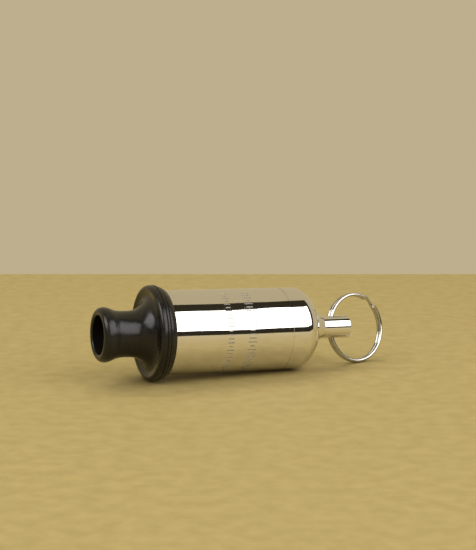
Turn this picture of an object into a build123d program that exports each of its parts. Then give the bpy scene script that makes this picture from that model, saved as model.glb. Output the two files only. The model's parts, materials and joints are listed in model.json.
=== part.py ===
from build123d import *
import os
from math import cos, radians, sin, sqrt

# A mouth siren whistle. X runs along the whistle from the mouth to the key ring, Z is up,
# and the origin is the centre of the mouth opening, on the lip's front plane. Millimetres.

# Mouthpiece, one black moulding
LIP_R, LIP_X = 7.4, 1.7              # widest point of the rolled lip
LIP_FRONT_R, LIP_ROLL = 6.1, 0.45    # foremost ring of the lip, and how far it rolls into the bore
BORE_R, BORE_END = 5.3, 12.5         # straight part of the breath bore
NECK_POINTS = ((4.2, 6.68), (8.0, 6.22), (10.4, 6.48), (12.6, 7.6))   # waist, then trumpet flare
FLARE_END = (14.2, 10.2)             # foot of the hollow face inside the flange's rim
RIM_POINTS = ((13.96, 11.2), (13.74, 12.0), (14.05, 12.66))           # round front of the rim
RIM_R, BEAD_R = 12.97, 13.03         # flange's rim, and the bead between its two grooves
GROOVES_X, GROOVE_HALF, GROOVE_DEEP = (15.4, 16.4), 0.12, 0.2
BEAD_BACK_R, BAND_R = 12.85, 12.75   # either side of the second groove
BAND_MID = (17.5, 12.4)              # rounding of the rear band
FLANGE_BACK, SKIRT_R = 18.3, 11.9    # rear edge of the flange, over the barrel's end
SKIRT_DEEP = 1.5                     # how far the barrel goes into the flange
SPIGOT_END, FUNNEL_R, FUNNEL_LIP = 24.0, 9.7, 2.0   # end of the spigot, and the wide end of the way

# Metal shell
BARREL_R, WALL = 11.5, 0.6
INNER_R = BARREL_R - WALL
STEP_R, STEP_X = 11.2, 18.5          # the barrel's end is turned down to sit in the flange
SEAM_X, SEAM_HALF, SEAM_DEEP = 52.6, 0.06, 0.14      # fine groove between barrel and cap
CAP_SPIGOT = 3.6                     # length of the cap's step inside the barrel
DOME_X, DOME_LONG = 56.6, 7.45       # where the cap starts to close, and how long it takes
SEAT_THICK = 1.2                     # extra metal inside the dome, under the washer
WINDOW_X, WINDOW_LONG, WINDOW_WIDE = 41.0, 14.0, 8.0   # sound window in the far side
MARK_ROWS = ((34.0, 1.9), (40.3, 2.6))                 # centre and length of each row of marks
MARK_LENGTHS = (1.0, 0.55, 1.0, 0.8)                   # share of that length, mark after mark
MARK_FROM, MARK_STEP, MARK_COUNT = -62.0, 5.5, 25      # degrees below and above the near side
MARK_WIDE, MARK_DEEP = 0.36, 0.12

# Ring post and key ring
POST_R, POST_FOOT_R, POST_FOOT_LONG = 3.2, 4.5, 3.2
FOOT_LAND = 0.35                     # straight edge of the foot, on the dome
FOOT_GAP, FOOT_SUNK = 0.15, 0.25     # the foot sits in a slightly wider, shallow pocket
POST_END, POST_EDGE = 74.6, 0.35
SHANK_R, RIVET_R, RIVET_THICK = 1.6, 2.7, 0.9
WASHER_R, WASHER_THICK = 3.9, 0.5
SEAT_R = 4.9                         # flat seat inside the dome, round the washer
EYE_X, EYE_R = 69.3, 1.3             # cross hole for the key ring
EYE_LEAN = 12.0                      # degrees from upright, its top leaning to the far side
WIRE_R, COIL_PITCH = 0.5, 1.06       # wire of the key ring, and the step between its turns
RING_R = 9.5                         # centre line of the key ring's turns
RING_DROP = 0.34                     # how far the ring's centre hangs below the middle of the eye
RING_YAW = 13.0                      # degrees, the ring as it lies, swung to the far side
RING_IN_EYE = 0.28                   # how far the wire sits beyond the eye's axis
CROSS_LOW, CROSS_HIGH = 37.0, 64.0   # degrees round the ring where one turn becomes the other
END_GAP = 2.0                        # degrees between a wire end and the crossing

# Siren works, from the mouth end
STATOR_THICK = 1.2
SLOTS, SLOT_IN, SLOT_OUT, SLOT_WIDE, SLOT_LEAN = 8, 4.2, 9.0, 1.6, 40.0
ROTOR_X, ROTOR_THICK, ROTOR_R = 25.7, 1.6, 10.1
HUB_R, HUB_LONG = 2.3, 4.3
PIN_R, PIN_GAP = 0.8, 0.03           # spindle, and its radial running clearance
PIN_CONE, PIN_SHORT = 0.4, 0.2       # cones at its ends, and how far it stays inside the works
SLEEVE_WALL = 0.4
BRIDGE_X, BRIDGE_THICK, BRIDGE_RIM = 30.4, 1.2, 1.3
ARMS, ARM_WIDE, BOSS_R = 3, 2.0, 3.0
BUSH_R, BUSH_FLANGE_R, BUSH_FLANGE = 1.8, 2.5, 0.4
THRUST_R, THRUST_THICK = 1.7, 0.15
CIRCLIP_WIRE, CIRCLIP_GAP = 0.7, 34.0   # section and opening angle of the spring clip

STATOR_X = SPIGOT_END
STATOR_BACK = STATOR_X + STATOR_THICK
BRIDGE_BACK = BRIDGE_X + BRIDGE_THICK


def turned(*corners):
    """Solid of revolution about X, from straight-sided (x, radius) corners."""
    return revolve(make_face(Polyline(*corners, close=True)), Axis.X)


def disc(x, thick, outer, inner=0.0):
    """Flat round plate or tube from x to x + thick."""
    return turned((x, inner), (x, outer), (x + thick, outer), (x + thick, inner))


def around_x(shape, count):
    """Copies of a shape, evenly spaced about X."""
    return [Rot(X=360 * i / count) * shape for i in range(count)]


def mouthpiece():
    skirt_front = FLANGE_BACK - SKIRT_DEEP
    groove_1, groove_2 = GROOVES_X
    roll = LIP_FRONT_R - BORE_R
    outline = [
        EllipticalCenterArc((LIP_ROLL, LIP_FRONT_R), LIP_ROLL, roll, 180, arc_size=90),
        EllipticalCenterArc((LIP_X, LIP_FRONT_R), LIP_X, LIP_R - LIP_FRONT_R, 90, arc_size=90),
        Spline((LIP_X, LIP_R), *NECK_POINTS, FLARE_END, tangents=((1, 0), (0.1, 1))),
        Spline(
            FLARE_END,
            *RIM_POINTS,
            (groove_1 - GROOVE_HALF, RIM_R),
            tangents=((-0.1, 1), (1, 0)),
        ),
        ThreePointArc(
            (groove_1 - GROOVE_HALF, RIM_R),
            (groove_1, RIM_R - GROOVE_DEEP),
            (groove_1 + GROOVE_HALF, RIM_R),
        ),
        ThreePointArc(
            (groove_1 + GROOVE_HALF, RIM_R),
            ((groove_1 + groove_2) / 2, BEAD_R),
            (groove_2 - GROOVE_HALF, BEAD_BACK_R),
        ),
        ThreePointArc(
            (groove_2 - GROOVE_HALF, BEAD_BACK_R),
            (groove_2, BAND_R - GROOVE_DEEP),
            (groove_2 + GROOVE_HALF, BAND_R),
        ),
        ThreePointArc((groove_2 + GROOVE_HALF, BAND_R), BAND_MID, (FLANGE_BACK, SKIRT_R)),
        Polyline(
            (FLANGE_BACK, SKIRT_R),
            (FLANGE_BACK, STEP_R),
            (skirt_front, STEP_R),
            (skirt_front, INNER_R),
            (SPIGOT_END, INNER_R),
            (SPIGOT_END, FUNNEL_R),
            (SPIGOT_END - FUNNEL_LIP, FUNNEL_R),
            (BORE_END, BORE_R),
            (LIP_ROLL, BORE_R),
        ),
    ]
    return revolve(make_face(Curve() + outline), Axis.X)


def marks():
    """Two rows of plain ticks round the near side of the barrel."""
    ticks = []
    for x, row_long in MARK_ROWS:
        for i in range(MARK_COUNT):
            long = row_long * MARK_LENGTHS[i % len(MARK_LENGTHS)]
            tick = Pos(x, 0, BARREL_R) * Box(long, MARK_WIDE, 2 * MARK_DEEP)
            ticks.append(Rot(X=90 - MARK_FROM - MARK_STEP * i) * tick)
    return ticks


def barrel():
    front = FLANGE_BACK - SKIRT_DEEP
    tube = turned(
        (front, INNER_R),
        (front, STEP_R),
        (STEP_X, STEP_R),
        (STEP_X, BARREL_R),
        (SEAM_X - SEAM_HALF, BARREL_R),
        (SEAM_X - SEAM_HALF, BARREL_R - SEAM_DEEP),
        (SEAM_X, BARREL_R - SEAM_DEEP),
        (SEAM_X, INNER_R),
    )
    window = extrude(
        Plane.XZ * Pos(WINDOW_X, 0) * SlotOverall(WINDOW_LONG, WINDOW_WIDE), -2 * BARREL_R
    )
    return tube - window - marks()


def end_cap():
    inner_long = DOME_LONG - WALL
    foot_x = post_foot_x()
    outer = [
        Polyline(
            (SEAM_X, INNER_R),
            (SEAM_X, BARREL_R - SEAM_DEEP),
            (SEAM_X + SEAM_HALF, BARREL_R - SEAM_DEEP),
            (SEAM_X + SEAM_HALF, BARREL_R),
            (DOME_X, BARREL_R),
        ),
        EllipticalCenterArc((DOME_X, 0), DOME_LONG, BARREL_R, 0, arc_size=90),
        Line((DOME_X + DOME_LONG, 0), (DOME_X + inner_long, 0)),
        EllipticalCenterArc((DOME_X, 0), inner_long, INNER_R - WALL, 0, arc_size=90),
        Polyline(
            (DOME_X, INNER_R - WALL),
            (SEAM_X - CAP_SPIGOT, INNER_R - WALL),
            (SEAM_X - CAP_SPIGOT, INNER_R),
            (SEAM_X, INNER_R),
        ),
    ]
    shell = revolve(make_face(Curve() + outer), Axis.X)
    seat_thick = foot_x - (DOME_X + inner_long)
    shell = shell + disc(seat_x(), SEAT_THICK + seat_thick, SEAT_R)
    bore = disc(DOME_X, 2 * DOME_LONG, SHANK_R)
    pocket = disc(foot_x, DOME_LONG, POST_FOOT_R + FOOT_GAP)
    return shell - bore - pocket


def post_foot_x():
    """Bottom of the pocket in the dome that the post's foot stands in."""
    edge = DOME_LONG * sqrt(1 - ((POST_FOOT_R + FOOT_GAP) / BARREL_R) ** 2)
    return DOME_X + edge - FOOT_SUNK


def seat_x():
    """Flat inner face of the cap that the washer bears on."""
    return DOME_X + DOME_LONG - WALL - SEAT_THICK


def ring_post():
    foot = post_foot_x()
    inner_end = seat_x() - WASHER_THICK - RIVET_THICK
    outline = [
        Polyline(
            (inner_end, 0),
            (inner_end, RIVET_R),
            (inner_end + RIVET_THICK, RIVET_R),
            (inner_end + RIVET_THICK, SHANK_R),
            (foot, SHANK_R),
            (foot, POST_FOOT_R),
            (foot + FOOT_LAND, POST_FOOT_R),
            (foot + POST_FOOT_LONG, POST_R),
            (POST_END - POST_EDGE, POST_R),
        ),
        ThreePointArc(
            (POST_END - POST_EDGE, POST_R),
            (POST_END - POST_EDGE * (1 - sqrt(0.5)), POST_R - POST_EDGE * (1 - sqrt(0.5))),
            (POST_END, POST_R - POST_EDGE),
        ),
        Polyline((POST_END, POST_R - POST_EDGE), (POST_END, 0), (inner_end, 0)),
    ]
    post = revolve(make_face(Curve() + outline), Axis.X)
    return post - eye_place() * Cylinder(EYE_R, 4 * POST_R)


def eye_place():
    """The eye's own frame: the hole runs along its Z, which is also the ring's hinge."""
    return Pos(EYE_X, 0, 0) * Rot(X=-EYE_LEAN)


def rivet_washer():
    return disc(seat_x() - WASHER_THICK, WASHER_THICK, WASHER_R, SHANK_R)


def ring_place():
    """The key ring's own frame: its turns lie about local Z, and X points away from the post."""
    centre_off = sqrt(RING_R**2 - RING_DROP**2) - RING_IN_EYE
    return eye_place() * Rot(Z=RING_YAW) * Pos(centre_off, 0, -RING_DROP) * Rot(X=90)


def ring_point(angle, level):
    """Point on the wire's centre line."""
    return (RING_R * cos(radians(angle)), RING_R * sin(radians(angle)), level)


def split_ring():
    """Two open turns of round wire side by side, joined by a crossing."""
    level = COIL_PITCH / 2
    wire = Circle(WIRE_R)

    def turn(start, span, height):
        section = Plane.XZ * Pos(RING_R, 0) * wire
        return Pos(0, 0, height) * Rot(Z=start) * revolve(section, Axis.Z, span)

    def backwards(angle):
        return Vector(sin(radians(angle)), -cos(radians(angle)), 0)

    span = 360 - (CROSS_HIGH - CROSS_LOW) + END_GAP
    near_turn = turn(CROSS_HIGH, span, level)
    far_turn = turn(CROSS_HIGH - END_GAP, span, -level)
    path = Spline(
        ring_point(CROSS_HIGH, level),
        ring_point((CROSS_LOW + CROSS_HIGH) / 2, 0),
        ring_point(CROSS_LOW, -level),
        tangents=(backwards(CROSS_HIGH), backwards(CROSS_LOW)),
    )
    profile = Plane(ring_point(CROSS_HIGH, level), z_dir=backwards(CROSS_HIGH)) * wire
    crossing = sweep(profile, path)
    return ring_place() * (near_turn + crossing + far_turn)


def slanted_slots(x, thick, lean):
    """Radial slots through a plate, each leaning about its own radius."""
    long = SLOT_OUT - SLOT_IN
    cutter = Box(4 * thick, SLOT_WIDE, long)
    slot = Pos(x + thick / 2, 0, SLOT_IN + long / 2) * Rot(Z=lean) * cutter
    return around_x(slot, SLOTS)


def stator_plate():
    return disc(STATOR_X, STATOR_THICK, INNER_R, BUSH_R) - slanted_slots(
        STATOR_X, STATOR_THICK, SLOT_LEAN
    )


def rotor_disc():
    return disc(ROTOR_X, ROTOR_THICK, ROTOR_R, HUB_R) - slanted_slots(
        ROTOR_X, ROTOR_THICK, -SLOT_LEAN
    )


def rotor_hub():
    return disc(ROTOR_X, HUB_LONG, HUB_R, PIN_R)


def rotor_spindle():
    """Steel pin with a short cone at each end."""
    front, back = STATOR_X + PIN_SHORT, BRIDGE_BACK - PIN_SHORT
    return turned(
        (front, 0),
        (front, PIN_R - PIN_CONE),
        (front + PIN_CONE, PIN_R),
        (back - PIN_CONE, PIN_R),
        (back, PIN_R - PIN_CONE),
        (back, 0),
    )


def front_bush():
    """Flanged bearing in the stator, its flange towards the mouth."""
    return turned(
        (STATOR_X - BUSH_FLANGE, PIN_R + PIN_GAP),
        (STATOR_X - BUSH_FLANGE, BUSH_FLANGE_R),
        (STATOR_X, BUSH_FLANGE_R),
        (STATOR_X, BUSH_R),
        (STATOR_BACK, BUSH_R),
        (STATOR_BACK, PIN_R + PIN_GAP),
    )


def rear_bush():
    """Flanged bearing in the bridge, its flange towards the cap."""
    return turned(
        (BRIDGE_X, PIN_R + PIN_GAP),
        (BRIDGE_X, BUSH_R),
        (BRIDGE_BACK, BUSH_R),
        (BRIDGE_BACK, BUSH_FLANGE_R),
        (BRIDGE_BACK + BUSH_FLANGE, BUSH_FLANGE_R),
        (BRIDGE_BACK + BUSH_FLANGE, PIN_R + PIN_GAP),
    )


def thrust_washer(x):
    return disc(x, THRUST_THICK, THRUST_R, PIN_R + PIN_GAP)


def spacer_sleeve():
    return disc(STATOR_BACK, BRIDGE_X - STATOR_BACK, INNER_R, INNER_R - SLEEVE_WALL)


def rear_bridge():
    rim = disc(BRIDGE_X, BRIDGE_THICK, INNER_R, INNER_R - BRIDGE_RIM)
    boss = disc(BRIDGE_X, BRIDGE_THICK, BOSS_R)
    arm_long = INNER_R - BRIDGE_RIM / 2
    arm = Pos(BRIDGE_X + BRIDGE_THICK / 2, 0, arm_long / 2) * Box(
        BRIDGE_THICK, ARM_WIDE, arm_long
    )
    spider = rim + boss + around_x(arm, ARMS)
    return spider - disc(BRIDGE_X, BRIDGE_THICK, BUSH_R)


def spring_clip():
    """Open spring ring that holds the works against the spigot."""
    section = make_face(
        Polyline(
            (BRIDGE_BACK, INNER_R - CIRCLIP_WIRE),
            (BRIDGE_BACK, INNER_R),
            (BRIDGE_BACK + CIRCLIP_WIRE, INNER_R),
            (BRIDGE_BACK + CIRCLIP_WIRE, INNER_R - CIRCLIP_WIRE),
            close=True,
        )
    )
    return Rot(X=CIRCLIP_GAP / 2) * revolve(section, Axis.X, 360 - CIRCLIP_GAP)


os.makedirs("parts", exist_ok=True)
pieces = {
    "mouthpiece": mouthpiece(),
    "barrel": barrel(),
    "end_cap": end_cap(),
    "ring_post": ring_post(),
    "rivet_washer": rivet_washer(),
    "split_ring": split_ring(),
    "stator_plate": stator_plate(),
    "front_bush": front_bush(),
    "front_thrust_washer": thrust_washer(STATOR_BACK),
    "rotor_disc": rotor_disc(),
    "rotor_hub": rotor_hub(),
    "rotor_spindle": rotor_spindle(),
    "spacer_sleeve": spacer_sleeve(),
    "rear_thrust_washer": thrust_washer(BRIDGE_X - THRUST_THICK),
    "rear_bridge": rear_bridge(),
    "rear_bush": rear_bush(),
    "spring_clip": spring_clip(),
}
for name, shape in pieces.items():
    export_step(shape, f"parts/{name}.step")
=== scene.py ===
import json
from math import atan, cos, radians, sin

import bmesh
import bpy
from mathutils import Matrix, Vector


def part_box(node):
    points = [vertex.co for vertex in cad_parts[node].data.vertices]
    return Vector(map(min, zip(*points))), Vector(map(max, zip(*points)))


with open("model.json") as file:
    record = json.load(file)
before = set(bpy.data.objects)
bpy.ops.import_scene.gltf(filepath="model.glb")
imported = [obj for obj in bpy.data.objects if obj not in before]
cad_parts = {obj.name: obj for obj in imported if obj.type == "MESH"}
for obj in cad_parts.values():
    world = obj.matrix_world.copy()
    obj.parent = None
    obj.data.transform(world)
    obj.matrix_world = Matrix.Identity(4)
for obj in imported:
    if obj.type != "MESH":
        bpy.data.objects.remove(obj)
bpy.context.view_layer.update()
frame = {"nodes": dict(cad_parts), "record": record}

# ---------------------------------------------------------------- the way the whistle lies
# The whistle lies on its flange and on its dome, so its axis leans a little and so does the floor
# in the frame of the part. Positions given "level" are in the room, with the floor flat.

MM = 0.001
FLANGE_X = 15.9 * MM                      # widest bead of the flange
DOME_X = 56.6 * MM                        # where the dome starts

flange_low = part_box("mouthpiece")[0].z
shell_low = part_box("end_cap")[0].z
LEAN = atan((shell_low - flange_low) / (DOME_X - FLANGE_X))
room = Matrix.Rotation(-LEAN, 4, "Y")     # from level to the frame of the part


def towards(azimuth, elevation):
    """Level direction from the whistle: azimuth 0 is the near side, 90 the ring's end."""
    a, e = radians(azimuth), radians(elevation)
    return Vector((sin(a) * cos(e), -cos(a) * cos(e), sin(e)))


def facing(place, target):
    """Matrix at a level place, its -Z axis aimed at a level target."""
    turn = (target - place).to_track_quat("-Z", "Y")
    return room @ Matrix.Translation(place) @ turn.to_matrix().to_4x4()


# ---------------------------------------------------------------- camera

AIM = Vector((40 * MM, 0, 0))
CAMERA_FROM = (-23.08, 9.95)              # azimuth and elevation of the camera, degrees
CAMERA_FAR = 409 * MM
PAN, TILT = 23.18, 8.02                   # where it looks: right of +Y, and down, degrees
LENS, SENSOR = 96.74, 36.0                # focal length and width of the frame


def make_camera():
    camera = bpy.data.objects.new("camera", bpy.data.cameras.new("camera"))
    bpy.context.scene.collection.objects.link(camera)
    camera.data.sensor_width = SENSOR
    camera.data.lens = LENS
    camera.data.clip_start, camera.data.clip_end = 0.01, 20.0
    place = AIM + CAMERA_FAR * towards(*CAMERA_FROM)
    camera.matrix_world = facing(place, place + towards(180 - PAN, -TILT))
    bpy.context.scene.camera = camera


# ---------------------------------------------------------------- materials


class Paint:
    """A node material, with short calls for the nodes used here."""

    def __init__(self, name):
        self.material = bpy.data.materials.new(name)
        self.material.use_nodes = True
        self.tree = self.material.node_tree
        self.shader = self.tree.nodes["Principled BSDF"]
        self.place = self.tree.nodes.new("ShaderNodeTexCoord").outputs["Object"]

    def fix(self, **values):
        for name, value in values.items():
            socket = self.shader.inputs[name.replace("_", " ")]
            socket.default_value = (*value, 1.0) if isinstance(value, tuple) else value

    def join(self, out, socket):
        self.tree.links.new(out, self.shader.inputs[socket])

    def noise(self, scale, detail=4.0):
        node = self.tree.nodes.new("ShaderNodeTexNoise")
        node.inputs["Scale"].default_value = scale
        node.inputs["Detail"].default_value = detail
        self.tree.links.new(self.place, node.inputs["Vector"])
        return node.outputs["Fac"]

    def from_axis(self):
        """Distance from the whistle's axis, in metres."""
        across = self.tree.nodes.new("ShaderNodeMapping")
        across.inputs["Scale"].default_value = (0, 1, 1)
        self.tree.links.new(self.place, across.inputs["Vector"])
        node = self.tree.nodes.new("ShaderNodeVectorMath")
        node.operation = "LENGTH"
        self.tree.links.new(across.outputs["Vector"], node.inputs[0])
        return node.outputs["Value"]

    def span(self, value, low, high, from_low=0.35, from_high=0.65):
        """Value from low to high, as the given one goes from from_low to from_high."""
        node = self.tree.nodes.new("ShaderNodeMapRange")
        for name, number in zip(
            ("From Min", "From Max", "To Min", "To Max"), (from_low, from_high, low, high)
        ):
            node.inputs[name].default_value = number
        self.tree.links.new(value, node.inputs["Value"])
        return node.outputs["Result"]

    def blend(self, value, first, second):
        """Mix of two colours, or of two sockets that carry colours or numbers."""
        node = self.tree.nodes.new("ShaderNodeMix")
        node.data_type = "RGBA"
        for name, side in (("A", first), ("B", second)):
            socket = next(i for i in node.inputs if i.name == name and i.type == "RGBA")
            if isinstance(side, tuple):
                socket.default_value = (*side, 1.0)
            else:
                self.tree.links.new(side, socket)
        self.tree.links.new(value, node.inputs["Factor"])
        return next(o for o in node.outputs if o.type == "RGBA")

    def bump(self, height, depth, strength=1.0):
        node = self.tree.nodes.new("ShaderNodeBump")
        node.inputs["Strength"].default_value = strength
        node.inputs["Distance"].default_value = depth
        self.tree.links.new(height, node.inputs["Height"])
        self.join(node.outputs["Normal"], "Normal")


POLISHED_R = 11.45 * MM                   # nearer the axis, the shell's metal isn't polished
POLISH_EDGE = 0.03 * MM                   # width of the change from polished to raw
RAW_COLOUR, RAW_ROUGHNESS = (0.42, 0.395, 0.345), 0.5


def nickel(name, low=0.025, high=0.07, tone=0.87, raw_within=None):
    """Bright plating: nearly a mirror, with slow waves and faint handling haze."""
    paint = Paint(name)
    paint.fix(Metallic=1.0)
    light, dark = (tone, tone * 0.985, tone * 0.95), (tone * 0.96, tone * 0.94, tone * 0.89)
    colour = paint.blend(paint.noise(90.0, 3.0), light, dark)
    rough = paint.span(paint.noise(700.0, 6.0), low, high)
    if raw_within:
        raw = paint.span(paint.from_axis(), 1.0, 0.0, raw_within - POLISH_EDGE, raw_within)
        colour = paint.blend(raw, colour, RAW_COLOUR)
        rough = paint.blend(raw, rough, (RAW_ROUGHNESS,) * 3)
    paint.join(colour, "Base Color")
    paint.join(rough, "Roughness")
    paint.bump(paint.noise(140.0, 1.0), 0.010 * MM)
    return paint.material


def black_plastic(name):
    """Moulded plastic with a soft sheen."""
    paint = Paint(name)
    paint.fix(Specular_IOR_Level=0.40)
    light, dark = (0.009, 0.008, 0.006), (0.005, 0.0045, 0.0035)
    paint.join(paint.blend(paint.noise(220.0), light, dark), "Base Color")
    paint.join(paint.span(paint.noise(500.0, 5.0), 0.22, 0.32), "Roughness")
    paint.bump(paint.noise(2500.0, 3.0), 0.004 * MM)
    return paint.material


def machined(name, light, dark, low, high):
    """Machined or stamped metal, unplated, with fine marks and uneven roughness."""
    paint = Paint(name)
    paint.fix(Metallic=1.0)
    marks = paint.noise(1500.0, 5.0)
    paint.join(paint.blend(marks, light, dark), "Base Color")
    paint.join(paint.span(marks, low, high), "Roughness")
    paint.bump(marks, 0.01 * MM)
    return paint.material


MATERIALS = {
    "nickel_shell": nickel("nickel_shell", raw_within=POLISHED_R),
    "nickel_cap": nickel("nickel_cap"),
    "nickel_post": nickel("nickel_post", 0.04, 0.09),
    "ring_wire": nickel("ring_wire", 0.06, 0.14, 0.58),
    "black_plastic": black_plastic("black_plastic"),
    "bare_brass": machined("bare_brass", (0.80, 0.60, 0.30), (0.62, 0.42, 0.18), 0.22, 0.40),
    "bronze_bush": machined("bronze_bush", (0.60, 0.38, 0.20), (0.42, 0.25, 0.13), 0.35, 0.50),
    "rotor_metal": machined("rotor_metal", (0.80, 0.81, 0.82), (0.66, 0.67, 0.69), 0.25, 0.40),
    "bare_steel": machined("bare_steel", (0.60, 0.60, 0.62), (0.48, 0.48, 0.50), 0.20, 0.35),
}


def dress_nodes():
    """Gives every CAD node the full material of its slot."""
    for part in frame["record"]["subparts"]:
        mesh = frame["nodes"][part["node"]].data
        mesh.materials.clear()
        mesh.materials.append(MATERIALS[part["material_slot"]])


# ---------------------------------------------------------------- floor, lights

FLOOR_R = 0.245
FLOOR_FAR = 0.198                         # where the floor ends behind the whistle


def level_floor_height():
    back = room.inverted()
    return min((back @ v.co).z for node in frame["nodes"].values() for v in node.data.vertices)


def make_floor():
    """Round sheet of matt paper, cut straight across behind the whistle."""
    mesh = bpy.data.meshes.new("floor")
    form = bmesh.new()
    bmesh.ops.create_circle(form, cap_ends=True, radius=FLOOR_R, segments=256)
    for corner in form.verts:
        corner.co.y = min(corner.co.y, FLOOR_FAR)
    form.to_mesh(mesh)
    form.free()
    floor = bpy.data.objects.new("floor", mesh)
    bpy.context.scene.collection.objects.link(floor)
    place = Matrix.Translation((AIM.x, 0, level_floor_height()))
    floor.matrix_world = room @ place @ Matrix.Rotation(-radians(PAN), 4, "Z")
    paint = Paint("floor_paper")
    light, dark = (0.290, 0.226, 0.083), (0.256, 0.197, 0.069)
    fibres = paint.span(paint.noise(230.0, 8.0), 0.0, 1.0)
    paint.join(paint.blend(fibres, light, dark), "Base Color")
    paint.fix(Roughness=0.75)
    mesh.materials.append(paint.material)


KEY_FROM, LEFT_FROM, BACK_FROM = (27, 33), (-77, 42), (176, 60)     # azimuth and elevation
LAMP_FAR, CARD_FAR, BACK_FAR = 0.70, 0.72, 0.80                     # from AIM, in metres
LAMP_COLOUR = (1.0, 0.99, 0.97)
ROOM_COLOUR = (0.515, 0.429, 0.27, 1.0)


def softbox(name, seen_from, far, edges, watts):
    """Area light. Its edges are left, right, low and high of the line that it faces along."""
    left, right, low, high = edges
    lamp = bpy.data.lights.new(name, "AREA")
    lamp.shape, lamp.size, lamp.size_y = "RECTANGLE", right - left, high - low
    lamp.energy, lamp.color = watts, LAMP_COLOUR
    light = bpy.data.objects.new(name, lamp)
    bpy.context.scene.collection.objects.link(light)
    shift = Matrix.Translation(((left + right) / 2, (low + high) / 2, 0))
    light.matrix_world = facing(AIM + far * towards(*seen_from), AIM) @ shift
    return light


def dark_card(name, seen_from, edges):
    """Matt black surround behind a softbox. Only reflections see it."""
    left, right, low, high = edges
    mesh = bpy.data.meshes.new(name)
    corners = [(left, low, 0), (right, low, 0), (right, high, 0), (left, high, 0)]
    mesh.from_pydata(corners, [], [(0, 1, 2, 3)])
    card = bpy.data.objects.new(name, mesh)
    bpy.context.scene.collection.objects.link(card)
    card.matrix_world = facing(AIM + CARD_FAR * towards(*seen_from), AIM)
    paint = Paint(name)
    light, dark = (0.014, 0.011, 0.007), (0.010, 0.008, 0.005)
    paint.join(paint.blend(paint.noise(20.0), light, dark), "Base Color")
    mesh.materials.append(paint.material)
    card.visible_camera = False
    card.visible_shadow = False
    card.visible_diffuse = False


def light_room():
    world = bpy.data.worlds.new("room")
    bpy.context.scene.world = world
    world.use_nodes = True
    world.node_tree.nodes["Background"].inputs["Color"].default_value = ROOM_COLOUR
    softbox("key_softbox", KEY_FROM, LAMP_FAR, (-0.343, 0.52, -0.294, 0.35), watts=5.6)
    dark_card("key_surround", KEY_FROM, (-0.60, 0.90, -0.50, 0.75))
    softbox("left_softbox", LEFT_FROM, LAMP_FAR, (-0.29, 0.29, -0.21, 0.21), watts=3.2)
    dark_card("left_surround", LEFT_FROM, (-0.50, 0.50, -0.52, 0.42))
    fill = softbox("back_fill", BACK_FROM, BACK_FAR, (-0.35, 0.35, -0.20, 0.20), watts=4.0)
    fill.visible_glossy = False
    bpy.context.scene.view_settings.view_transform = "Standard"


make_camera()
dress_nodes()
make_floor()
light_room()
